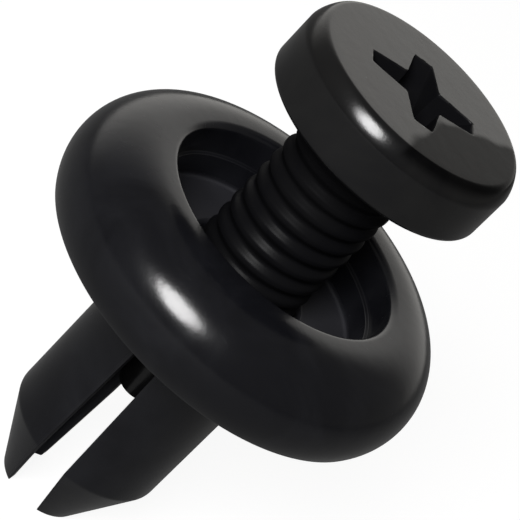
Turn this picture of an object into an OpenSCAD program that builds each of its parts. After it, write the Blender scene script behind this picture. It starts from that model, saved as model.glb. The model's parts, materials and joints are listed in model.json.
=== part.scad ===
// Screw rivet in black nylon: a split, flanged barrel and the cross-recessed screw that spreads it.
// Both pieces are drawn about Z from the seat of the flange at zero, then stood on the ends of the legs.

/* [Flange] */
// Outside diameter of the flange
flange_d = 20; // [19.2:0.1:24]
// Height of the flange above its seat
flange_h = 4.6; // [4.2:0.1:5.6]
// Radius of the round rim, which runs from the seat up over the crown
rim_r = 3.05; // [2.6:0.05:3.4]

/* [Head recess] */
// Diameter of the upper wall of the recess
recess_d = 12.2; // [12:0.05:12.9]
// Depth of the upper wall, down to the narrow ledge
ledge_depth = 1.75; // [1.2:0.05:2.4]
// Height of the recess floor above the seat
floor_h = 1.4; // [0.9:0.05:1.8]
// Rounding of the mouth of the recess
mouth_r = 0.35; // [0.2:0.05:0.5]
// Diameter of the lead-in at the top of the screw hole
lead_in_d = 6.6; // [6.2:0.05:7.2]
// Depth of that lead-in
lead_in_depth = 0.5; // [0.3:0.05:0.8]

/* [Split barrel] */
// Outside diameter of the barrel
barrel_d = 8.2; // [7.8:0.05:9]
// Length of the straight barrel below the seat
barrel_len = 10.6; // [9.8:0.1:12]
// Length of the tapered leg ends
taper_len = 4; // [3.6:0.1:4.8]
// Outside diameter at the end of the legs
leg_end_d = 4.4; // [4.2:0.05:5.4]
// Width of the slot that parts the two legs, at its root
slot_root_w = 1.3; // [0.9:0.05:1.6]
// Width of that slot at the ends of the legs
slot_end_w = 1.95; // [1.6:0.05:2.2]
// Distance from the seat down to the root of the slot
slot_root = 2; // [1.5:0.1:4]

/* [Screw] */
// Diameter of the screw head
head_d = 11.6; // [11:0.05:11.8]
// Height of the screw head
head_h = 3.2; // [2.8:0.05:3.6]
// Rounding of the top edge of the head
head_edge_r = 0.8; // [0.4:0.05:1.2]
// Rounding of the lower edge of the head
head_foot_r = 0.3; // [0.1:0.05:0.6]
// Outside diameter of the thread
thread_d = 5.75; // [5.4:0.05:6]
// Step from one ridge of the thread to the next
thread_pitch = 0.93; // [0.85:0.01:1.05]
// Depth of the groove between two ridges
thread_depth = 0.2; // [0.1:0.02:0.36]
// Width of the groove at its bottom
groove_w = 0.25; // [0.15:0.01:0.3]
// Width of a ridge at its crest
crest_w = 0.3; // [0.2:0.02:0.4]
// Length of the plain neck between the head and the thread
neck_len = 1.3; // [0.8:0.1:2]
// Length of the screw below its head
shank_len = 17.65; // [16.8:0.05:18.6]
// Length of the tapered point
point_len = 5; // [4.5:0.1:5.6]
// Diameter at the blunt end of the point
point_d = 1.8; // [1.2:0.05:2.2]

/* [Cross recess in the head] */
// Length across opposite arms at the top
cross_span = 5.7; // [4.8:0.1:6.6]
// Width of each arm at its outer end
cross_w = 0.95; // [0.7:0.05:1.2]
// Width that the arms grow to at the centre
cross_mid_w = 2; // [1.6:0.05:2.4]
// Depth at the centre
cross_depth = 1.9; // [1.4:0.05:2.4]
// Length across opposite arms at the bottom
cross_root = 2.2; // [1.6:0.1:3]
// Diameter of the tapered core at the top
core_d = 2.6; // [2.2:0.1:3.2]
// Diameter of the tapered core at the bottom
core_root_d = 1.5; // [1:0.1:2]
// Turn of the arms about the screw
cross_turn = 25; // [0:1:89]

/* [Assembly] */
// Height that the head stands above its seat on the recess floor
raise = 9.2; // [8:0.1:10.5]
// Gap round the head in the lower part of the recess
head_gap = 0.1; // [0.06:0.01:0.18]
// Gap round the thread in the barrel
thread_gap = 0.06; // [0.02:0.01:0.1]
// Gap round the point once the screw is driven home
point_gap = 0.1; // [0.06:0.01:0.2]

/* [Hidden] */
$fn = 96;
nylon = [0.06, 0.06, 0.065];
nylon_screw = [0.09, 0.09, 0.09];
// Spare length by which a cutting shape runs past the face that it opens
past = 1;

// Flange: the circle that rounds its rim
rim_ring_r = flange_d / 2 - rim_r;
rim_z = flange_h - rim_r;

// Recess: the lower wall clears the head, and the ledge joins it to the upper wall
ledge_d = head_d + 2 * head_gap;
ledge_z = flange_h - ledge_depth;

// Barrel: ends of the straight part and of the legs, and the way of the screw inside
taper_z = -barrel_len;
leg_end_z = taper_z - taper_len;
bore_d = thread_d + 2 * thread_gap;
home_point_z = floor_h - shank_len;
point_slope = (thread_d - point_d) / 2 / point_len;
channel_top_z = home_point_z + point_len - point_gap;
channel_end_d = bore_d - 2 * point_slope * (channel_top_z - leg_end_z);

// Screw: its head stands raised above the recess floor, and whole grooves fit between the neck and the point
head_z = floor_h + raise;
grooves = floor((shank_len - point_len - neck_len) / thread_pitch);

// Rest: the rivet stands on the ends of its legs
seat_h = -leg_end_z;

// Stands a piece, drawn from the seat of the flange, on the ground
module standing() {
    translate([0, 0, seat_h]) children();
}

// Round cut from z up to an open face above it
module counterbore(d, z, top) {
    translate([0, 0, z]) cylinder(d = d, h = top + past - z);
}

// Solid flange with a round rim, flat on its seat
module flange_blank() {
    rotate_extrude() {
        square([rim_ring_r, flange_h]);
        intersection() {
            translate([rim_ring_r, rim_z]) circle(r = rim_r);
            square([flange_d, flange_h]);
        }
    }
}

// Straight barrel with its tapered end, not yet split
module barrel_blank() {
    translate([0, 0, taper_z]) cylinder(d = barrel_d, h = barrel_len + floor_h);
    translate([0, 0, leg_end_z]) cylinder(d1 = leg_end_d, d2 = barrel_d, h = taper_len);
}

// Stepped recess for the head, with a rounded mouth
module head_recess() {
    counterbore(recess_d, ledge_z, flange_h);
    counterbore(ledge_d, floor_h, flange_h);
    rotate_extrude() translate([recess_d / 2, flange_h - mouth_r]) difference() {
        square(mouth_r + past);
        translate([mouth_r, 0]) circle(r = mouth_r);
        translate([mouth_r, -past]) square(mouth_r + 2 * past);
    }
}

// Screw hole: lead-in, straight bore, and the taper in the legs that the point follows
module screw_way() {
    translate([0, 0, floor_h - lead_in_depth]) cylinder(d1 = bore_d, d2 = lead_in_d, h = lead_in_depth);
    counterbore(bore_d, channel_top_z, floor_h);
    translate([0, 0, leg_end_z])
        cylinder(d1 = channel_end_d, d2 = bore_d, h = channel_top_z - leg_end_z);
}

// Slot right across the barrel, widening from its root to the leg ends
module leg_slot() {
    rotate([90, 0, 0]) linear_extrude(height = barrel_d + 2 * past, center = true) polygon([
        [slot_root_w / 2, -slot_root],
        [slot_end_w / 2, leg_end_z],
        [slot_end_w / 2, leg_end_z - past],
        [-slot_end_w / 2, leg_end_z - past],
        [-slot_end_w / 2, leg_end_z],
        [-slot_root_w / 2, -slot_root],
    ]);
}

// One arm pair of the cross: deepest in its middle, and narrowing towards both ends
module cross_arms() {
    reach = cross_span / 2;
    intersection() {
        rotate([90, 0, 0]) linear_extrude(height = cross_mid_w + past, center = true) polygon([
            [-reach, 0],
            [-cross_root / 2, -cross_depth],
            [cross_root / 2, -cross_depth],
            [reach, 0],
            [reach, past],
            [-reach, past],
        ]);
        translate([0, 0, -cross_depth - past]) linear_extrude(height = cross_depth + 3 * past) polygon([
            [-reach - past, -cross_w / 2],
            [-reach, -cross_w / 2],
            [0, -cross_mid_w / 2],
            [reach, -cross_w / 2],
            [reach + past, -cross_w / 2],
            [reach + past, cross_w / 2],
            [reach, cross_w / 2],
            [0, cross_mid_w / 2],
            [-reach, cross_w / 2],
            [-reach - past, cross_w / 2],
        ]);
    }
}

// Cross recess below a top face at zero
module cross_recess() {
    rotate(cross_turn) {
        cross_arms();
        rotate(90) cross_arms();
        translate([0, 0, -cross_depth]) cylinder(d1 = core_root_d, d2 = core_d, h = cross_depth);
        cylinder(d = core_d, h = past);
    }
}

// Pan head with both edges rounded, its underside at zero
module head_blank() {
    head_r = head_d / 2;
    rotate_extrude() {
        square([head_r - head_edge_r, head_h]);
        translate([0, head_foot_r]) square([head_r, head_h - head_foot_r - head_edge_r]);
        translate([head_r - head_edge_r, head_h - head_edge_r]) circle(r = head_edge_r);
        translate([head_r - head_foot_r, head_foot_r]) circle(r = head_foot_r);
        square([head_r - head_foot_r, head_h / 2]);
    }
}

// Ring cut between two ridges of the thread, centred on zero
module thread_groove() {
    crest_r = thread_d / 2;
    mouth_w = thread_pitch - crest_w;
    rotate_extrude() polygon([
        [crest_r - thread_depth, -groove_w / 2],
        [crest_r, -mouth_w / 2],
        [crest_r + past, -mouth_w / 2],
        [crest_r + past, mouth_w / 2],
        [crest_r, mouth_w / 2],
        [crest_r - thread_depth, groove_w / 2],
    ]);
}

// Shank with a plain neck, the thread as a row of rings, and a tapered point
module shank() {
    difference() {
        union() {
            translate([0, 0, point_len - shank_len])
                cylinder(d = thread_d, h = shank_len - point_len + head_h / 2);
            translate([0, 0, -shank_len]) cylinder(d1 = point_d, d2 = thread_d, h = point_len);
        }
        for (i = [1 : grooves]) translate([0, 0, -neck_len - (i - 1 / 2) * thread_pitch]) thread_groove();
    }
}

// Flange and split barrel, moulded in one
module rivet_body() {
    color(nylon) standing() difference() {
        union() {
            flange_blank();
            barrel_blank();
        }
        head_recess();
        screw_way();
        leg_slot();
    }
}

// Screw, moulded in one, standing raised in the flange
module screw() {
    color(nylon_screw) standing() translate([0, 0, head_z]) difference() {
        union() {
            head_blank();
            shank();
        }
        translate([0, 0, head_h]) cross_recess();
    }
}

rivet_body();
screw();
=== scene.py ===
"""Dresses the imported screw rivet: the black nylon body and its raised screw, a pale floor, one lamp and the camera."""

import json
import math

import bpy
import numpy as np
from mathutils import Matrix, Vector


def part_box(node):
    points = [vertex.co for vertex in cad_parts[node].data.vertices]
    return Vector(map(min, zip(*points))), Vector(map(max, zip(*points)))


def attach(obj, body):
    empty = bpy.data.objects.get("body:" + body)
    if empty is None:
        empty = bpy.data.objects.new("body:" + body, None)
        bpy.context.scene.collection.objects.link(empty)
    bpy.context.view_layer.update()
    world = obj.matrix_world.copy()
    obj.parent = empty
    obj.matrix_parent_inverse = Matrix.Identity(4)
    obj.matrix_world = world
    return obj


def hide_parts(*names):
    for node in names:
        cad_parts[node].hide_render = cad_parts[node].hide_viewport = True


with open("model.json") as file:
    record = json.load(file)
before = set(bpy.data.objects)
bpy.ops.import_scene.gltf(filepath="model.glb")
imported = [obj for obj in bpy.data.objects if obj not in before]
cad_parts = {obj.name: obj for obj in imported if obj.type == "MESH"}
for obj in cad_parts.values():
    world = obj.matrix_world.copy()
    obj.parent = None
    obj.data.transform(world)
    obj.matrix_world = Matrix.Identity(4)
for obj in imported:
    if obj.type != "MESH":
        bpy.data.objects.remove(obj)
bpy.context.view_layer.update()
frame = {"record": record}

bl_info = {
    "name": "Screw rivet",
    "version": (1, 0, 0),
    "blender": (4, 5, 0),
    "location": "3D View > Sidebar > Rivet",
    "description": "Builds a black nylon screw rivet and the studio that it stands in",
    "category": "Object",
}

MM = 0.001
SCREW_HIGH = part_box("screw")[1]
MOUNTS = {m["name"]: m for m in frame["record"]["mounts"]}
SEAT_Z = MOUNTS["seat"]["pos_m"][2]
BARREL = MOUNTS["barrel"]["dims"]

# Small roundings of the body's moulded edges
SEAT_EDGE_R = 0.09 * MM
BORE_EDGE_R = 0.08 * MM
LEAD_IN_EDGE_R = 0.1 * MM
FLOOR_CORNER_R = 0.15 * MM
LEDGE_EDGE_R = 0.06 * MM
LEDGE_CORNER_R = 0.05 * MM
BARREL_ROOT_R = 0.12 * MM
SHOULDER_R = 0.5 * MM

# Numbers of points that the surfaces are laid out with
BODY_TURNS = 256
RIM_POINTS = 44
LEG_ARC_POINTS = 57
CORNER_STEPS = 6
RUN_POINTS = 9
LONG_RUN = 0.5 * MM
CROSS_COUNTS = (9, 14, 14, 24)
HEAD_TOP_RINGS = 10
HEAD_EDGE_POINTS = 25
HEAD_FOOT_STEPS = 12
SHANK_TURNS = 112
ROWS_PER_PITCH = 22

# Cross recess: draft and rounding of its walls, the band of crowded lines by them, and the power that blends its parts
CROSS_DRAFT = 0.07 * MM
CROSS_WALL_BAND = 0.09 * MM
CROSS_SKIM = 0.02 * MM
CROSS_BLEND = 8

# Head: half the width of the square grid on its top, in cross spans. Where the grid's lines change their step and where
# the plain rings start, in those half widths. The inner end of the underside, in shank radii. Repeats that settle the
# grid.
TOP_SQUARE = 0.55
STEP_CHANGE, RING_START = 0.45, 1.55
UNDERSIDE_END = 0.7
GRID_REPEATS = 6

# Screw: how far the shank reaches up into the head, and the worn end of the point
SHANK_ROOT = 0.6 * MM
POINT_EDGE = 0.05 * MM
POINT_EDGE_SPAN = 0.06 * MM
POINT_FACE_SHARE = 0.44
RIDGE_SHARE = 0.1

SHARP_ANGLE = math.radians(40.0)

# Skin of the body: how its shares fade with the distance from their surface, and how pale the recess floor is
# The pale share of the bore and slot is painted light on their shaded inside
SKIN_FADE = (0.02 * MM, 0.1 * MM)
FLOOR_FADE = (0.05 * MM, 0.3 * MM)
SLOT_EDGE_FADE = (0.06 * MM, 0.25 * MM)
SKIN_MARGIN = 0.02 * MM
LEG_TOP_MARGIN = 0.01 * MM
FLOOR_PALE = 0.38

# Skin of the screw's shank: painted shade that darkens the thread and takes away its mirror, growing towards the
# head as a painted shadow of the head, and where it ends, by height below the head; how matt the thread is, and how
# pale, the pale share a little painted fill light
SHANK_FADE = (0.0, 0.2 * MM)
THREAD_PAINTED_SHADE, NECK_PAINTED_SHADOW = 0.88, 0.1
NECK_RISE = (-6.6 * MM, -3.2 * MM)
THREAD_END = (-10.5 * MM, -9.0 * MM)
THREAD_MATT, THREAD_PALE = 0.7, 0.16

# Skin of the screw's head: painted shade inside the cross, lifted a little by painted fill light, and a painted dark
# reflection on the top beyond two lines, with a wavy border
HOLLOW_FADE = (0.0, 0.06 * MM)
HOLLOW_PALE = 0.2
PAINTED_REFLECTION_EDGE_X = 1.45 * MM
PAINTED_REFLECTION_SLANT, PAINTED_REFLECTION_SLANT_OFF = (0.79, -0.61), 1.62 * MM
PAINTED_REFLECTION_WAVE, PAINTED_REFLECTION_WAVE_X, PAINTED_REFLECTION_WAVE_Y, PAINTED_REFLECTION_WAVE_START = 0.16 * MM, 0.31 * MM, 0.43 * MM, 0.7
PAINTED_REFLECTION_FADE = (-0.22 * MM, 0.26 * MM)
PAINTED_REFLECTION_DEPTH = (-0.6 * MM, -0.15 * MM)
PAINTED_REFLECTION_STRENGTH = 0.9

# Patterns in the nylon: scales per metre, and how much each changes gloss, tone or relief
FLOW_SCALE, PEEL_SCALE, GRAIN_SCALE = 210.0, 1500.0, 9000.0
SCUFF_SCALE, SCUFF_TURN = (900.0, 5200.0, 900.0), (0.5, 0.3, 0.9)
FLOW_GLOSS, SCUFF_GLOSS, MATT_GLOSS = 0.045, 0.1, 0.3
# MIRROR is the nylon's specular level; PAINTED_SHADE_TONE is how far full painted shade darkens its tone
MIRROR, PAINTED_SHADE_TONE = 0.5, 0.4
PEEL_SHARE, RELIEF_STRENGTH, RELIEF_HEIGHT = 2.5, 0.22, 0.000012

# Stage: picture width of the lens, how far up the bright wall leans, and the floor's extent in metres
SENSOR_WIDTH = 36.0
WALL_LEAN = 0.45
FLOOR_REACH, FLOOR_LINES, FLOOR_DROP = 3.0, 25, 0.00002
FLOOR_SEEN, FLOOR_MIRRORED = 0.9, 0.04


def length(name, text, mm):
    """A length, given in millimetres, as a property in metres."""
    return bpy.props.FloatProperty(
        name=name, description=text, default=mm * MM, min=0.0, precision=5, subtype="DISTANCE", unit="LENGTH"
    )


def angle(name, text, degrees):
    """An angle, given in degrees, as a property in radians."""
    return bpy.props.FloatProperty(
        name=name, description=text, default=math.radians(degrees), subtype="ANGLE", unit="ROTATION"
    )


def number(name, text, default, **kind):
    """A plain number, with its limits, subtype or unit where it has them."""
    return bpy.props.FloatProperty(name=name, description=text, default=default, **kind)


def share(name, text, default):
    """A number from zero to one."""
    return number(name, text, default, min=0.0, max=1.0, subtype="FACTOR")


def colour(name, text, default):
    """A colour in linear light."""
    return bpy.props.FloatVectorProperty(
        name=name, description=text, default=default, size=3, min=0.0, max=1.0, subtype="COLOR"
    )


class BodySizes(bpy.types.PropertyGroup):
    """Sizes of the flange and of the split barrel below it"""

    flange_d: length("Flange diameter", "Outside diameter of the flange", 20.0)
    flange_h: length("Flange height", "Height of the flange above its seat", 4.6)
    rim_r: length("Rim radius", "Radius of the round rim", 3.05)
    recess_d: length("Recess diameter", "Diameter of the upper wall of the recess", 12.2)
    ledge_d: length("Ledge diameter", "Diameter of the lower wall of the recess", 11.8)
    ledge_depth: length("Ledge depth", "Depth of the upper wall, down to the ledge", 1.75)
    floor_h: length("Floor height", "Height of the recess floor above the seat", 1.4)
    mouth_r: length("Mouth rounding", "Rounding of the mouth of the recess", 0.35)
    lead_in_d: length("Lead-in diameter", "Diameter at the top of the screw hole", 6.6)
    lead_in_depth: length("Lead-in depth", "Depth of that lead-in", 0.5)
    bore_d: length("Bore diameter", "Diameter of the way of the screw", 5.87)
    barrel_d: length("Barrel diameter", "Outside diameter of the barrel", 2 * BARREL["r_mm"])
    barrel_len: length("Barrel length", "Length of the straight barrel below the seat", BARREL["length_mm"])
    taper_len: length("Taper length", "Length of the tapered leg ends", SEAT_Z / MM - BARREL["length_mm"])
    leg_end_d: length("Leg end diameter", "Outside diameter at the end of the legs", 4.4)
    channel_end_d: length("Channel end diameter", "Inside diameter at the end of the legs", 3.3)
    channel_top: length("Channel start", "Distance from the seat down to where the inside starts to taper", 11.35)
    slot_root_w: length("Slot root width", "Width of the slot that parts the legs, at its root", 1.3)
    slot_end_w: length("Slot end width", "Width of that slot at the ends of the legs", 1.95)
    slot_root: length("Slot root", "Distance from the seat down to the root of the slot", 2.0)
    edge_r: length("Edge rounding", "Rounding of the moulded edges of the legs", 0.06)


class ScrewSizes(bpy.types.PropertyGroup):
    """Sizes of the screw, from the underside of its head"""

    head_d: length("Head diameter", "Diameter of the head", 11.6)
    head_h: length("Head height", "Height of the head", 3.2)
    edge_tight_r: length("Head edge bend", "Radius of the tight ends of the head's top edge", 0.35)
    edge_slow_r: length("Head edge crown", "Radius of that edge where it bends least", 2.2)
    edge_lean: angle("Head edge lean", "Angle from the axis that the edge faces where it bends least", 62.0)
    edge_spread: angle("Head edge spread", "Range of angles over which it bends less, towards the top", 9.0)
    edge_ease: angle("Head edge ease", "The same range towards the side", 15.0)
    head_foot_r: length("Head foot", "Rounding of the lower edge of the head", 0.3)
    thread_d: length("Thread diameter", "Outside diameter of the thread", 5.75)
    thread_depth: length("Thread depth", "Depth of the thread's groove", 0.2)
    thread_turn: angle("Thread turn", "Turn of the thread about the screw", -23.0)
    thread_pitch: length("Thread pitch", "Rise of the thread in one turn", 0.93)
    neck_len: length("Neck length", "Length of the plain neck between the head and the thread", 1.3)
    shank_len: length("Shank length", "Length of the screw below its head", 17.65)
    point_len: length("Point length", "Length of the tapered point", 5.0)
    point_d: length("Point diameter", "Diameter at the blunt end of the point", 1.8)
    cross_span: length("Cross span", "Length across opposite arms at the top", 5.7)
    cross_root: length("Cross root", "Length across opposite arms at the bottom", 2.2)
    cross_w: length("Arm end width", "Width of each arm at its outer end", 0.95)
    cross_mid_w: length("Arm middle width", "Width that the arms grow to at the centre", 2.0)
    cross_depth: length("Cross depth", "Depth of the cross at its centre", 1.9)
    core_d: length("Core diameter", "Diameter of the tapered core at the top", 2.6)
    core_root_d: length("Core root", "Diameter of the tapered core at the bottom", 1.5)
    cross_turn: angle("Cross turn", "Turn of the arms about the screw", 25.0)


class NylonFinish(bpy.types.PropertyGroup):
    """Colours and gloss of the two mouldings"""

    body_dark: colour("Body black", "Deepest tone of the body", (0.0042, 0.0043, 0.0057))
    body_pale: colour("Body flow tone", "Palest tone of the body, in its flow marks", (0.0082, 0.0084, 0.0104))
    screw_dark: colour("Screw black", "Deepest tone of the screw", (0.0033, 0.0033, 0.0038))
    screw_pale: colour("Screw flow tone", "Palest tone of the screw, in its flow marks", (0.0066, 0.0065, 0.0065))
    # The pale tone is painted light in the bore and slot and a little painted fill light in the thread and cross; the
    # recess floor takes some of it too
    pale_tone_and_painted_light: colour("Matt tone", "Tone of the matt skin in the bore, slot, cross and thread", (0.04, 0.04, 0.0475))
    body_rough: share("Body roughness", "Mean roughness of the body", 0.21)
    screw_rough: share("Screw roughness", "Mean roughness of the screw", 0.19)
    ior: number("Index of refraction", "Index that sets how much the nylon mirrors", 1.45, min=1.0, max=2.0)


class StageSettings(bpy.types.PropertyGroup):
    """Camera, floor and lamp"""

    view_turn: angle("View turn", "Turn of the camera about the rivet, to the right of its front", 4.8)
    view_tilt: angle("View tilt", "Angle between the line of sight and the rivet's axis", 62.267)
    view_roll: angle("View roll", "Turn of the camera about its line of sight", 44.62)
    view_distance: length("View distance", "Distance along the line of sight to the middle of the seat", 108.33)
    seat_x: number("Seat across", "Place of the seat's middle right of the picture's, in picture widths", -0.06484)
    seat_y: number("Seat down", "Place of the seat's middle below the picture's, in picture widths", 0.06277)
    lens: number(
        "Lens", "Focal length for a 36 mm wide picture", 164.08, min=1.0, subtype="DISTANCE_CAMERA", unit="CAMERA"
    )
    floor_tone: colour("Floor", "Colour of the floor", (0.18, 0.18, 0.18))
    lamp_across: angle("Lamp across", "Angle of the lamp from the camera, across the picture", -4.0)
    lamp_up: angle("Lamp up", "Angle of the lamp from the camera, up the picture", 12.3)
    lamp_distance: length("Lamp distance", "Distance from the rivet to the lamp", 260.0)
    lamp_size: length("Lamp size", "Diameter of the round lamp", 118.0)
    lamp_power: number("Lamp power", "Power of the lamp", 0.88, min=0.0, subtype="POWER", unit="POWER")
    room_tone: share("Room", "Tone of the room in front of the rivet", 0.13)


def wrap_grid(rows, cols, around=True, along=False):
    """Quads of a grid of rows by cols points. Each joins a point, the next in its row and the two in the row after it,
    and the grid closes on itself around its rows or along its columns where that is asked."""
    row, col = np.meshgrid(np.arange(rows - (not along)), np.arange(cols - (not around)), indexing="ij")
    row_on, col_on = (row + 1) % rows, (col + 1) % cols
    corners = [row * cols + col, row * cols + col_on, row_on * cols + col_on, row_on * cols + col]
    return np.stack(corners, axis=-1).reshape(-1, 4)


def crowded():
    """Shares from nought to one that crowd towards both ends as a cosine does."""
    return 0.5 - 0.5 * np.cos(np.pi * np.linspace(0.0, 1.0, RUN_POINTS))


def rounded(corners, closed, steps=CORNER_STEPS):
    """A path through (x, y, radius) corners. A corner with a radius becomes an arc that touches both its lines: its
    centre lies on the line that halves the corner, radius / sin(half) away. A long straight run gets points that
    crowd towards its ends as a cosine does, so that its shading stays flat."""
    corners = np.asarray(corners, float)
    spot, radius = corners[:, :2], corners[:, 2]
    back = np.roll(spot, 1, axis=0) - spot
    ahead = np.roll(spot, -1, axis=0) - spot
    back /= np.linalg.norm(back, axis=1, keepdims=True)
    ahead /= np.linalg.norm(ahead, axis=1, keepdims=True)
    half = 0.5 * np.arccos(np.clip((back * ahead).sum(axis=1), -1.0, 1.0))
    reach = np.where(radius > 0, radius / np.tan(half), 0.0)[:, None]
    start, end = spot + back * reach, spot + ahead * reach
    sweep = np.linspace(0.0, 1.0, steps + 1)[:, None]
    crowd = crowded()[1:-1, None]
    path, count = [], len(corners)
    for i in range(count):
        if radius[i] > 0 and (closed or 0 < i < count - 1):
            middle = back[i] + ahead[i]
            centre = spot[i] + middle / np.linalg.norm(middle) * radius[i] / np.sin(half[i])
            turn = np.pi - 2 * half[i]
            arm, arm_end = start[i] - centre, end[i] - centre
            path.append(centre + (np.sin((1 - sweep) * turn) * arm + np.sin(sweep * turn) * arm_end) / np.sin(turn))
        else:
            path.append(spot[i : i + 1])
        if closed or i < count - 1:
            run = start[(i + 1) % count] - end[i]
            if np.linalg.norm(run) > LONG_RUN:
                path.append(end[i] + crowd * run)
    return np.concatenate(path)


def turned(profile, turns):
    """A profile of (radius, height) points carried round Z through the given turns: x is the radius times the cosine
    and y is the radius times the sine."""
    radius, height = profile[:, 0, None], profile[:, 1, None]
    return np.stack(np.broadcast_arrays(radius * np.cos(turns), radius * np.sin(turns), height), axis=-1)


def joined(*shells):
    """Several shells of points, quads and end caps as one, each shell's faces counted on from the points before it. A
    shell whose signed volume is below nought is turned, so that all of them face outwards."""
    points, faces, first = [], [], 0
    for spots, quads, caps in shells:
        spots = spots.reshape(-1, 3)
        corner = spots[quads]
        halves = np.cross(corner[:, 1], corner[:, 2]) + np.cross(corner[:, 2], corner[:, 3])
        volume = (halves * corner[:, 0]).sum()
        for cap in caps:
            ring = spots[cap]
            volume += (np.cross(ring[1:-1], ring[2:]) * ring[0]).sum()
        step = 1 if volume > 0 else -1
        faces += (quads[:, ::step] + first).tolist()
        faces += [(cap[::step] + first).tolist() for cap in caps]
        points.append(spots)
        first += len(spots)
    return np.concatenate(points), faces


def moulding(name, points, faces, skin_and_painted_light, node, material):
    """Puts the points and faces into a mesh that stands for a CAD node, smooth but for its sharp corners. Each point
    has
    three shares: how matt it is, how pale, partly as painted light, and how much painted shade and painted reflection
    it takes, which makes it mirror less and darker."""
    mesh = bpy.data.meshes.new(name)
    mesh.from_pydata(points.tolist(), [], faces)
    mesh.polygons.foreach_set("use_smooth", np.ones(len(faces), bool))
    mesh.set_sharp_from_angle(angle=SHARP_ANGLE)
    shares = mesh.attributes.new("skin_and_painted_light", "FLOAT_VECTOR", "POINT")
    shares.data.foreach_set("vector", skin_and_painted_light.astype(np.float32).ravel())
    mesh.materials.append(material)
    mesh.update()
    piece = bpy.data.objects.new(name, mesh)
    bpy.context.scene.collection.objects.link(piece)
    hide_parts(node)
    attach(piece, node)


def flange_shell(s, turns):
    """Flange, recess and the top of the barrel, one closed profile turned about Z: up the bore and its lead-in, out
    over the recess floor and ledge, over the mouth and the round rim, and back along the seat to the barrel."""
    rim_ring, rim_z = s.flange_d / 2 - s.rim_r, s.flange_h - s.rim_r
    fall = np.linspace(np.pi / 2, -math.asin(rim_z / s.rim_r), RIM_POINTS)
    rim = np.stack([rim_ring + s.rim_r * np.cos(fall), rim_z + s.rim_r * np.sin(fall), 0 * fall], axis=1)
    rim[-1, 2] = SEAT_EDGE_R
    ledge_z = s.flange_h - s.ledge_depth
    corners = [
        (s.bore_d / 2, -s.slot_root, 0.0),
        (s.bore_d / 2, s.floor_h - s.lead_in_depth, BORE_EDGE_R),
        (s.lead_in_d / 2, s.floor_h, LEAD_IN_EDGE_R),
        (s.ledge_d / 2, s.floor_h, FLOOR_CORNER_R),
        (s.ledge_d / 2, ledge_z, LEDGE_EDGE_R),
        (s.recess_d / 2, ledge_z, LEDGE_CORNER_R),
        (s.recess_d / 2, s.flange_h, s.mouth_r),
        *rim.tolist(),
        (s.barrel_d / 2, 0.0, BARREL_ROOT_R),
        (s.barrel_d / 2, -s.slot_root, 0.0),
    ]
    profile = rounded(corners, closed=True)
    return turned(profile, turns), wrap_grid(len(profile), len(turns), along=True), []


def leg_shell(s, side):
    """One leg, a section carried down Z. The section is the ring between the inner and the outer radius, cut off at
    half the slot's width, which grows evenly downwards: the outer arc, a rounded corner, a straight wall, a corner,
    the inner arc back, and a second wall with its corners. The radii follow the barrel and its taper, and at the
    leg's end all faces draw in along a quarter circle."""
    end_z = -s.barrel_len - s.taper_len
    fall = (s.barrel_d - s.leg_end_d) / 2 / s.taper_len
    outer = rounded(
        [
            (s.barrel_d / 2, -s.slot_root, 0.0),
            (s.barrel_d / 2, -s.barrel_len, SHOULDER_R),
            (s.leg_end_d / 2, end_z, 0.0),
        ],
        closed=False,
    )
    outer = outer[outer[:, 1] > end_z + s.edge_r]
    bend = np.linspace(0.0, np.pi / 2, CORNER_STEPS)
    draw_in = np.concatenate([np.zeros(len(outer)), s.edge_r * (1 - np.cos(bend))])
    z = np.concatenate([outer[:, 1], end_z + s.edge_r * (1 - np.sin(bend))])
    big = np.concatenate([outer[:, 0], s.leg_end_d / 2 + fall * (z[len(outer) :] - end_z)]) - draw_in
    narrow = np.clip((z + s.channel_top) / (end_z + s.channel_top), 0.0, 1.0)
    small = (s.bore_d + (s.channel_end_d - s.bore_d) * narrow) / 2 + draw_in
    widen = (s.slot_end_w - s.slot_root_w) * (z + s.slot_root) / (end_z + s.slot_root)
    wall = (s.slot_root_w + widen) / 2 + draw_in
    big, small, wall = big[:, None], small[:, None], wall[:, None]

    big_turn, small_turn = np.arccos(wall / big), np.arccos(wall / small)
    big_y, small_y = big * np.sin(big_turn), small * np.sin(small_turn)
    swing = np.linspace(-1.0, 1.0, LEG_ARC_POINTS)
    big_arc = (big_turn - s.edge_r / big) * swing
    small_arc = (small_turn - s.edge_r / small) * swing[::-1]
    along = np.linspace(0.0, 1.0, CORNER_STEPS)[1:-1]

    def bent(x0, y0, x1, y1, x2, y2):
        """Corner points between two ends, pulled to the true corner as a quadratic curve does."""
        a, b, c = (1 - along) ** 2, 2 * along * (1 - along), along**2
        return a * x0 + b * x1 + c * x2, a * y0 + b * y1 + c * y2

    top_x, top_y = big * np.cos(big_arc), big * np.sin(big_arc)
    low_x, low_y = small * np.cos(small_arc), small * np.sin(small_arc)
    face_y = big_y - s.edge_r + crowded() * (small_y - big_y + 2 * s.edge_r)
    face_x = wall + 0 * face_y
    out_x, out_y = bent(top_x[:, -1:], top_y[:, -1:], wall, big_y, wall, face_y[:, :1])
    in_x, in_y = bent(wall, face_y[:, -1:], wall, small_y, low_x[:, :1], low_y[:, :1])
    side_x = np.concatenate([out_x, face_x, in_x], axis=1)
    side_y = np.concatenate([out_y, face_y, in_y], axis=1)
    ring_x = np.concatenate([top_x, side_x, low_x, side_x[:, ::-1]], axis=1)
    ring_y = np.concatenate([top_y, side_y, low_y, -side_y[:, ::-1]], axis=1)
    points = np.stack(np.broadcast_arrays(side * ring_x, ring_y, z[:, None]), axis=-1)
    rows, cols = ring_x.shape
    ends = [np.arange(cols)[::-1], (rows - 1) * cols + np.arange(cols)]
    return points, wrap_grid(rows, cols), ends


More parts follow.
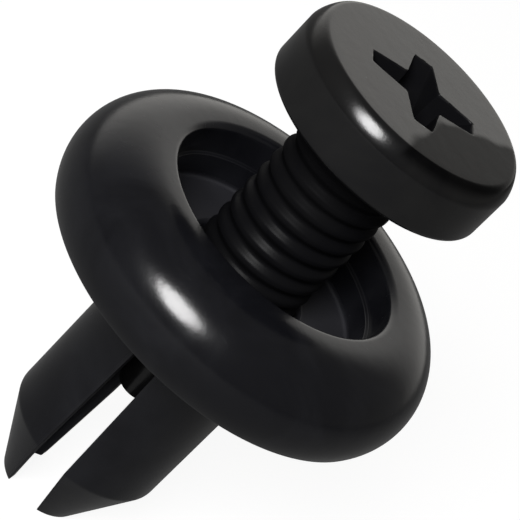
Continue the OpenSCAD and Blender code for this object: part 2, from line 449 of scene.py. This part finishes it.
def smooth_step(low, high, value):
    """Nought below low, one above high, and the cubic 3t^2 - 2t^3 between them."""
    t = np.clip((value - low) / (high - low), 0.0, 1.0)
    return t * t * (3 - 2 * t)


def arm_swell(s, along):
    """How many times as wide as at its outer end an arm of the cross is, at a distance along it from the centre."""
    inward = np.clip(1 - np.abs(along) * 2 / s.cross_span, 0.0, 1.0)
    return 1 + (s.cross_mid_w / s.cross_w - 1) * inward


def cross_depth(s, x, y):
    """Depth of the cross recess at points of the head's top, with the arms along x and y. An arm's floor falls evenly
    from its outer end to the root, and its side walls are smooth steps at half its width, which shrinks evenly
    outwards. The core is a cone. The deepest of them counts, rounded where they meet by a power mean."""

    def arm(along, across):
        reach = s.cross_span / 2
        floor = np.clip((reach - np.abs(along)) / (s.cross_span - s.cross_root) * 2, 0.0, 1.0)
        half = s.cross_w / 2 * arm_swell(s, along)
        return floor * smooth_step(-CROSS_DRAFT, CROSS_DRAFT, half - np.abs(across))

    radius = np.hypot(x, y)
    core = np.clip((s.core_d / 2 - radius) / (s.core_d - s.core_root_d) * 2, 0.0, 1.0)
    parts = arm(x, y) ** CROSS_BLEND + arm(y, x) ** CROSS_BLEND + core**CROSS_BLEND
    return s.cross_depth * parts ** (1 / CROSS_BLEND)


def head_edge(s):
    """Top edge of the head, from the flat top to the side. Where it faces an angle a from the axis, its radius is
    tight + (slow - tight) * exp(-((a - lean) / spread)^2), so that it bends least round the lean. Beyond the lean the
    ease takes the place of the spread."""
    facing = np.linspace(0.0, np.pi / 2, HEAD_EDGE_POINTS)
    middle = (facing[1:] + facing[:-1]) / 2
    spread = np.where(middle < s.edge_lean, s.edge_spread, s.edge_ease)
    bend = s.edge_tight_r + (s.edge_slow_r - s.edge_tight_r) * np.exp(-(((middle - s.edge_lean) / spread) ** 2))
    arc = bend * (facing[1] - facing[0])
    out = np.concatenate([[0.0], np.cumsum(arc * np.cos(middle))])
    down = np.concatenate([[0.0], np.cumsum(arc * np.sin(middle))])
    return np.stack([s.head_d / 2 - out[-1] + out, s.head_h - down, 0 * out], axis=1)


def head_shell(s):
    """Head of the screw. The middle of its top is a square grid, lowered by the cross recess. Its lines crowd at the
    walls of the arms and spread with them towards the centre: a line by the wall is moved out by the arm's swell, and
    lines farther out by less, down to none at the square's edge. A few repeats settle both directions. From that edge,
    rings run out over the top, the rounded edge, the side and the underside."""
    half, wall = TOP_SQUARE * s.cross_span, s.cross_w / 2
    stops = np.array([0.0, wall - CROSS_WALL_BAND, wall + CROSS_WALL_BAND, STEP_CHANGE * half, half])
    runs = [np.linspace(stops[i], stops[i + 1], n, endpoint=False) for i, n in enumerate(CROSS_COUNTS)]
    line = np.concatenate([*runs, [half]])
    line = np.concatenate([-line[:0:-1], line])
    n = len(line)
    flat_x, flat_y = np.meshgrid(line, line)

    def spread(across, along):
        """Moves the lines of one direction out with the arm's walls."""
        room = np.minimum(np.abs(across), wall) * np.clip((half - np.abs(across)) / (half - wall), 0.0, 1.0)
        return across + np.sign(across) * room * (arm_swell(s, along) - 1)

    x, y = flat_x, flat_y
    for _ in range(GRID_REPEATS):
        x, y = spread(flat_x, y), spread(flat_y, x)
    deep = np.clip(cross_depth(s, x, y) - CROSS_SKIM, 0.0, None)
    c, d = math.cos(s.cross_turn), math.sin(s.cross_turn)
    top = np.stack([c * x - d * y, d * x + c * y, s.head_h - deep], axis=-1).reshape(-1, 3)

    grid = np.arange(n * n).reshape(n, n)
    edge = np.concatenate([grid[0, :-1], grid[:-1, -1], grid[-1, :0:-1], grid[:0:-1, 0]])
    turns = np.arctan2(top[edge, 1], top[edge, 0])
    radius, shank = s.head_d / 2, s.thread_d / 2
    side = rounded(
        [
            (half * RING_START, s.head_h, 0.0),
            *head_edge(s).tolist(),
            (radius, 0.0, s.head_foot_r),
            (shank * UNDERSIDE_END, 0.0, 0.0),
        ],
        closed=False,
        steps=HEAD_FOOT_STEPS,
    )
    rings = turned(side, turns)
    step = np.linspace(0.0, 1.0, HEAD_TOP_RINGS)[1:-1, None, None]
    rings = np.concatenate([top[edge] + step * (rings[0] - top[edge]), rings])
    count = len(edge)
    rim = wrap_grid(len(rings), count) + n * n
    first = n * n + np.arange(count)
    seam = np.stack([edge, np.roll(edge, -1), np.roll(first, -1), first], axis=1)
    points = np.concatenate([top, rings.reshape(-1, 3)])
    quads = np.concatenate([wrap_grid(n, n, around=False), seam[:, ::-1], rim[:, ::-1]])
    under = n * n + (len(rings) - 1) * count + np.arange(count)
    return points, quads, [under[::-1]]


def shank_shell(s):
    """Shank with a plain neck, a helical thread and a tapered point. At each height and turn the radius is the crest's
    less the groove's depth times how far the place is from the ridge, which rises one pitch a turn. The groove fades in
    below the neck and out above the point."""
    tall = np.arange(SHANK_ROOT, -s.shank_len + POINT_EDGE_SPAN, -s.thread_pitch / ROWS_PER_PITCH)
    turns = np.linspace(0.0, 2 * np.pi, SHANK_TURNS, endpoint=False)
    z, turn = np.meshgrid(tall, turns, indexing="ij")
    taper = np.clip((z + s.shank_len) / s.point_len, 0.0, 1.0)
    crest = (s.point_d + (s.thread_d - s.point_d) * taper) / 2
    phase = (z / s.thread_pitch - (turn + s.thread_turn) / (2 * np.pi)) % 1.0
    groove = smooth_step(RIDGE_SHARE, 1.0, np.abs(phase - 0.5) * 2)
    run = s.thread_pitch / 2
    cut = smooth_step(0.0, run, -s.neck_len - z) * smooth_step(0.0, run, z + s.shank_len - s.point_len)
    radius = crest - s.thread_depth * cut * groove
    points = np.stack([radius * np.cos(turn), radius * np.sin(turn), z], axis=-1)
    end = [[s.point_d / 2, POINT_EDGE - s.shank_len], [POINT_FACE_SHARE * s.point_d, -s.shank_len]]
    points = np.concatenate([points, turned(np.array(end), turns)])
    rows, cols = points.shape[:2]
    return points, wrap_grid(rows, cols), [np.arange(cols)[::-1], (rows - 1) * cols + np.arange(cols)]


class Wires:
    """Adds nodes to a material's or the world's tree and links them."""

    def __init__(self, tree):
        self.tree = tree
        tree.nodes.clear()

    def add(self, kind, settings=None, **sockets):
        """A node of that kind, its settings and its sockets set. A socket's value is a constant or another's output."""
        node = self.tree.nodes.new(kind)
        for key, value in (settings or {}).items():
            setattr(node, key, value)
        for key, value in sockets.items():
            socket = next(i for i in node.inputs if i.identifier == key or i.name.lower().replace(" ", "_") == key)
            if isinstance(value, bpy.types.NodeSocket):
                self.tree.links.new(value, socket)
            else:
                socket.default_value = value
        return node

    def noise(self, vector, **sockets):
        """The value of a noise pattern."""
        return self.add("ShaderNodeTexNoise", vector=vector, **sockets).outputs["Fac"]

    def ranged(self, value, smooth=False, **sockets):
        """A value carried from one range to another, evenly or as a smooth step."""
        way = {"interpolation_type": "SMOOTHSTEP" if smooth else "LINEAR"}
        return self.add("ShaderNodeMapRange", way, value=value, **sockets).outputs["Result"]

    def maths(self, operation, *values):
        """The result of an operation on two or three values."""
        sockets = dict(zip(("Value", "Value_001", "Value_002"), values))
        return self.add("ShaderNodeMath", {"operation": operation}, **sockets).outputs["Value"]

    def mixed(self, factor, first, second):
        """A colour between two others."""
        sockets = {"Factor_Float": factor, "A_Color": first, "B_Color": second}
        return self.add("ShaderNodeMix", {"data_type": "RGBA"}, **sockets).outputs[2]


def nylon(name, dark, pale, pale_tone_and_painted_light, rough, ior, painted_shades):
    """Moulded black nylon: slow flow marks in tone and gloss, a fine grain and a slight orange peel in relief, and
    short scuffs that break the gloss. All patterns follow Object coordinates, in metres. The first two shares of each
    point make it matt and pale, the pale share partly painted light. On a piece with painted shade the third share is
    painted shade and painted reflection: it makes the surface less of a mirror and darker."""
    material = bpy.data.materials.new(name)
    material.use_nodes = True
    w = Wires(material.node_tree)
    place = w.add("ShaderNodeTexCoord").outputs["Object"]
    flow = w.noise(place, scale=FLOW_SCALE, detail=4.0, roughness=0.55, distortion=0.8)
    peel = w.noise(place, scale=PEEL_SCALE, detail=2.0, roughness=0.5)
    grain = w.noise(place, scale=GRAIN_SCALE, detail=2.0, roughness=0.6)
    drawn = w.add("ShaderNodeMapping", vector=place, rotation=SCUFF_TURN, scale=SCUFF_SCALE).outputs["Vector"]
    scuffs = w.noise(drawn, scale=1.0, detail=3.0, roughness=0.65)
    skin_and_painted_light = w.add("ShaderNodeAttribute", {"attribute_name": "skin_and_painted_light"}).outputs["Vector"]
    skin_and_painted_light = w.add("ShaderNodeSeparateXYZ", vector=skin_and_painted_light).outputs

    tone = w.ranged(flow, smooth=True, from_min=0.35, from_max=0.68)
    shade = w.mixed(tone, (*dark, 1.0), (*pale, 1.0))
    # The pale share: paler on the recess floor, painted light in the bore and slot, painted fill light in the thread
    # and cross
    shade = w.mixed(skin_and_painted_light["Y"], shade, (*pale_tone_and_painted_light, 1.0))
    gloss = w.ranged(flow, from_min=0.3, from_max=0.7, to_min=rough - FLOW_GLOSS, to_max=rough + FLOW_GLOSS)
    gloss = w.maths("ADD", gloss, w.ranged(scuffs, from_min=0.6, from_max=0.8, to_min=0.0, to_max=SCUFF_GLOSS))
    gloss = w.maths("MULTIPLY_ADD", skin_and_painted_light["X"], MATT_GLOSS, gloss)
    mirror = MIRROR
    # Painted shade and painted reflection: the third share takes away the mirror and darkens the tone
    if painted_shades:
        mirror = w.ranged(skin_and_painted_light["Z"], to_min=MIRROR, to_max=0.0)
        depth = w.ranged(skin_and_painted_light["Z"], to_min=1.0, to_max=PAINTED_SHADE_TONE)
        shade = w.add("ShaderNodeVectorMath", {"operation": "SCALE"}, Vector=shade, Scale=depth).outputs["Vector"]
    relief = w.maths("MULTIPLY_ADD", peel, PEEL_SHARE, grain)
    bump = w.add("ShaderNodeBump", strength=RELIEF_STRENGTH, distance=RELIEF_HEIGHT, height=relief).outputs["Normal"]
    body = w.add(
        "ShaderNodeBsdfPrincipled",
        base_color=shade,
        roughness=gloss,
        ior=ior,
        specular_ior_level=mirror,
        normal=bump,
    )
    w.add("ShaderNodeOutputMaterial", surface=body.outputs["BSDF"])
    return material


def lift(points, height):
    """Moves points drawn from zero up to their height in the frame."""
    return points + np.array([0.0, 0.0, height])


def body_skin_and_painted_light(s, points):
    """Shares of the body's surface. The recess floor, the slot and the bore are matt. All of them are pale too, apart
    from the slot's outer edges; in the bore and slot that pale tone is painted light on their shaded inside. Each share
    is one on its own surface and falls off as a smooth step away from it."""
    x, z, radius = np.abs(points[:, 0]), points[:, 2], np.hypot(points[:, 0], points[:, 1])
    seat = (radius < s.ledge_d / 2 + SKIN_MARGIN) * (1 - smooth_step(*FLOOR_FADE, np.abs(z - s.floor_h)))
    widen = (s.slot_end_w - s.slot_root_w) / 2 / (s.barrel_len + s.taper_len - s.slot_root)
    slot = x - s.slot_root_w / 2 + widen * (z + s.slot_root)
    slot = (z < -s.slot_root + LEG_TOP_MARGIN) * (1 - smooth_step(*SKIN_FADE, slot))
    deep = np.clip((z + s.channel_top) / (s.barrel_len + s.taper_len - s.channel_top), -1.0, 0.0)
    bore = (s.bore_d + (s.bore_d - s.channel_end_d) * deep) / 2
    bore = (z < 0.0) * (1 - smooth_step(*SKIN_FADE, radius - bore))
    narrow = np.clip((-z - s.barrel_len) / s.taper_len, 0.0, 1.0)
    outer = (s.barrel_d - (s.barrel_d - s.leg_end_d) * narrow) / 2
    within = slot * smooth_step(*SLOT_EDGE_FADE, outer - radius)
    matt = np.maximum.reduce([seat, bore, slot])
    # Painted light: the pale share lifts the shaded bore and inner slot walls
    pale = np.maximum.reduce([FLOOR_PALE * seat, bore, within])
    return np.stack([matt, pale, 0 * seat], axis=1)


def screw_skin_and_painted_light(s, points):
    """Shares of the screw's surface. Painted shade darkens the shank and takes away its mirror from the neck down to
    the lower thread, growing towards the head as a painted shadow of the head, and does the same inside the cross all
    over.
    The thread and cross are matt too, and a little paler as painted fill light. On the head's top a patch beyond two
    lines is a painted dark reflection, its border moved by a sine wave along x times a cosine wave along y."""
    x, y, z = points[:, 0], points[:, 1], points[:, 2]
    shank = 1 - smooth_step(*SHANK_FADE, z)
    # Painted shade inside the cross, lifted a little by painted fill light
    hollow = (np.hypot(x, y) < s.cross_span / 2) * smooth_step(*HOLLOW_FADE, s.head_h - z) * (1 - shank)
    # Painted shade on the thread, darker towards the head as a painted shadow of the head
    thread = (THREAD_PAINTED_SHADE + NECK_PAINTED_SHADOW * smooth_step(*NECK_RISE, z)) * smooth_step(*THREAD_END, z) * shank
    # Painted dark reflection on the head's top, beyond two lines with a wavy border
    painted_reflection = np.minimum(x - PAINTED_REFLECTION_EDGE_X, PAINTED_REFLECTION_SLANT[0] * x + PAINTED_REFLECTION_SLANT[1] * y - PAINTED_REFLECTION_SLANT_OFF)
    painted_reflection += PAINTED_REFLECTION_WAVE * np.sin(x / PAINTED_REFLECTION_WAVE_X + PAINTED_REFLECTION_WAVE_START) * np.cos(y / PAINTED_REFLECTION_WAVE_Y)
    painted_reflection = smooth_step(*PAINTED_REFLECTION_FADE, painted_reflection) * smooth_step(*PAINTED_REFLECTION_DEPTH, z - s.head_h)
    matt = np.maximum(THREAD_MATT * thread, hollow)
    # Painted fill light: the pale share lifts the thread and cross a little
    pale = np.maximum(THREAD_PALE * thread, HOLLOW_PALE * hollow)
    # Painted shade and painted reflection, the third share
    painted_shade = np.maximum.reduce([thread, hollow, PAINTED_REFLECTION_STRENGTH * painted_reflection])
    return np.stack([matt, pale, painted_shade], axis=1)


class RIVET_OT_body(bpy.types.Operator):
    """Builds the flange and the split barrel, moulded in one"""

    bl_idname = "rivet.body"
    bl_label = "Rivet body"

    def execute(self, context):
        s, f = context.scene.rivet_body, context.scene.rivet_finish
        turns = np.linspace(0.0, 2 * np.pi, BODY_TURNS, endpoint=False)
        points, faces = joined(flange_shell(s, turns), leg_shell(s, 1.0), leg_shell(s, -1.0))
        skin_and_painted_light = body_skin_and_painted_light(s, points)
        paint = nylon("body_nylon", f.body_dark, f.body_pale, f.pale_tone_and_painted_light, f.body_rough, f.ior, False)
        moulding("rivet_body_moulding", lift(points, SEAT_Z), faces, skin_and_painted_light, "rivet_body", paint)
        return {"FINISHED"}


class RIVET_OT_screw(bpy.types.Operator):
    """Builds the screw with its cross recess and thread, moulded in one"""

    bl_idname = "rivet.screw"
    bl_label = "Screw"

    def execute(self, context):
        s, f = context.scene.rivet_screw, context.scene.rivet_finish
        points, faces = joined(head_shell(s), shank_shell(s))
        skin_and_painted_light = screw_skin_and_painted_light(s, points)
        paint = nylon("screw_nylon", f.screw_dark, f.screw_pale, f.pale_tone_and_painted_light, f.screw_rough, f.ior, True)
        moulding("screw_moulding", lift(points, SCREW_HIGH.z - s.head_h), faces, skin_and_painted_light, "screw", paint)
        return {"FINISHED"}


def placed(spot, across, up, back):
    """The matrix of an object that stands at a spot with its own axes along the three ways."""
    return Matrix.Translation(spot) @ Matrix((across, up, back)).transposed().to_4x4()


class RIVET_OT_stage(bpy.types.Operator):
    """Lays the pale floor, hangs the lamp and sets the camera"""

    bl_idname = "rivet.stage"
    bl_label = "Stage"

    def execute(self, context):
        s, scene = context.scene.rivet_stage, context.scene
        tilt, roll = s.view_tilt, s.view_roll
        turn = Matrix.Rotation(s.view_turn, 3, "Z")
        sight = turn @ Vector((0.0, math.sin(tilt), -math.cos(tilt)))
        right = turn @ Vector((math.cos(roll), math.cos(tilt) * math.sin(roll), math.sin(tilt) * math.sin(roll)))
        down = turn @ Vector((math.sin(roll), -math.cos(tilt) * math.cos(roll), -math.sin(tilt) * math.cos(roll)))
        seat = Vector((0.0, 0.0, SEAT_Z))
        width = s.view_distance * SENSOR_WIDTH / s.lens
        spot = seat - width * (s.seat_x * right + s.seat_y * down) - s.view_distance * sight
        eye = bpy.data.cameras.new("camera")
        eye.sensor_width, eye.lens = SENSOR_WIDTH, s.lens
        eye.clip_start, eye.clip_end = 0.005, 50.0
        camera = bpy.data.objects.new("camera", eye)
        camera.matrix_world = placed(spot, right, -down, -sight)
        scene.collection.objects.link(camera)
        scene.camera = camera

        lamp = bpy.data.lights.new("window_lamp", "AREA")
        lamp.shape, lamp.size = "DISK", s.lamp_size
        lamp.energy = s.lamp_power
        window = bpy.data.objects.new("window_lamp", lamp)
        reach = (math.tan(s.lamp_across) * right - math.tan(s.lamp_up) * down - sight).normalized()
        side = (right - right.dot(reach) * reach).normalized()
        window.matrix_world = placed(seat + s.lamp_distance * reach, side, reach.cross(side), reach)
        scene.collection.objects.link(window)

        self.paint_world(scene, s.room_tone, sight - WALL_LEAN * down)
        self.lay_floor(scene, s)
        scene.view_settings.view_transform = "Standard"
        return {"FINISHED"}

    def paint_world(self, scene, room_tone, bright_way):
        """A pale wall behind the rivet and a dim room in front of it: the tone follows how far a direction points along
        the bright way. The camera sees plain white."""
        world = bpy.data.worlds.new("studio")
        world.use_nodes = True
        scene.world = world
        w = Wires(world.node_tree)
        way = {"Vector": w.add("ShaderNodeTexCoord").outputs["Generated"], "Vector_001": tuple(bright_way)}
        far = w.add("ShaderNodeVectorMath", {"operation": "DOT_PRODUCT"}, **way).outputs["Value"]
        tone = w.ranged(far, smooth=True, from_min=0.45, from_max=1.05, to_min=room_tone, to_max=1.0)
        camera = w.add("ShaderNodeLightPath").outputs["Is Camera Ray"]
        seen = w.add("ShaderNodeMix", {"data_type": "FLOAT"}, Factor_Float=camera, A_Float=tone, B_Float=1.0)
        tint = w.mixed(camera, (1.0, 0.98, 0.94, 1.0), (1.0, 1.0, 1.0, 1.0))
        glow = w.add("ShaderNodeBackground", color=tint, strength=seen.outputs[0])
        w.add("ShaderNodeOutputWorld", surface=glow.outputs["Background"])

    def lay_floor(self, scene, s):
        """A wide pale sheet with a slight tooth. Rays that see it, straight or in a gloss, get some light of its own as
        well, so that it reads as white and still keeps the shadow."""
        side = np.linspace(-FLOOR_REACH, FLOOR_REACH, FLOOR_LINES)
        x, y = np.meshgrid(side, side)
        points = np.stack([x, y, 0 * x - FLOOR_DROP], axis=-1).reshape(-1, 3)
        mesh = bpy.data.meshes.new("floor")
        mesh.from_pydata(points.tolist(), [], wrap_grid(FLOOR_LINES, FLOOR_LINES, around=False).tolist())
        sheet = bpy.data.objects.new("floor", mesh)
        scene.collection.objects.link(sheet)
        material = bpy.data.materials.new("floor_sheet")
        material.use_nodes = True
        w = Wires(material.node_tree)
        tooth = w.noise(w.add("ShaderNodeTexCoord").outputs["Object"], scale=900.0, detail=3.0)
        bump = w.add("ShaderNodeBump", strength=0.03, distance=0.00002, height=tooth).outputs["Normal"]
        matt = w.add("ShaderNodeBsdfDiffuse", color=(*s.floor_tone, 1.0), normal=bump)
        path = w.add("ShaderNodeLightPath").outputs
        mirrored = w.maths("ADD", path["Is Glossy Ray"], path["Is Transmission Ray"])
        mirrored = w.maths("MULTIPLY", mirrored, FLOOR_MIRRORED)
        own = w.maths("MULTIPLY_ADD", path["Is Camera Ray"], FLOOR_SEEN, mirrored)
        glow = w.add("ShaderNodeEmission", color=(1.0, 1.0, 1.0, 1.0), strength=own)
        both = w.add("ShaderNodeAddShader", Shader=matt.outputs["BSDF"], Shader_001=glow.outputs["Emission"])
        w.add("ShaderNodeOutputMaterial", surface=both.outputs["Shader"])
        mesh.materials.append(material)


class RIVET_PT_panel(bpy.types.Panel):
    """Sizes, finish and stage of the rivet, with the tools that build them"""

    bl_idname = "RIVET_PT_panel"
    bl_label = "Screw rivet"
    bl_space_type = "VIEW_3D"
    bl_region_type = "UI"
    bl_category = "Rivet"

    def draw(self, context):
        tools = {"rivet_body": "rivet.body", "rivet_screw": "rivet.screw", "rivet_stage": "rivet.stage"}
        for key in GROUPS:
            group, box = getattr(context.scene, key), self.layout.box()
            for name in group.bl_rna.properties.keys():
                if name not in ("rna_type", "name"):
                    box.prop(group, name)
            if key in tools:
                box.operator(tools[key])


GROUPS = {
    "rivet_body": BodySizes,
    "rivet_screw": ScrewSizes,
    "rivet_finish": NylonFinish,
    "rivet_stage": StageSettings,
}
CLASSES = (*GROUPS.values(), RIVET_OT_body, RIVET_OT_screw, RIVET_OT_stage, RIVET_PT_panel)


def register():
    for cls in CLASSES:
        bpy.utils.register_class(cls)
    for key, group in GROUPS.items():
        setattr(bpy.types.Scene, key, bpy.props.PointerProperty(type=group))


def unregister():
    for key in GROUPS:
        delattr(bpy.types.Scene, key)
    for cls in reversed(CLASSES):
        bpy.utils.unregister_class(cls)


def main():
    register()
    bpy.ops.rivet.body()
    bpy.ops.rivet.screw()
    bpy.ops.rivet.stage()


if __name__ == "__main__":
    main()
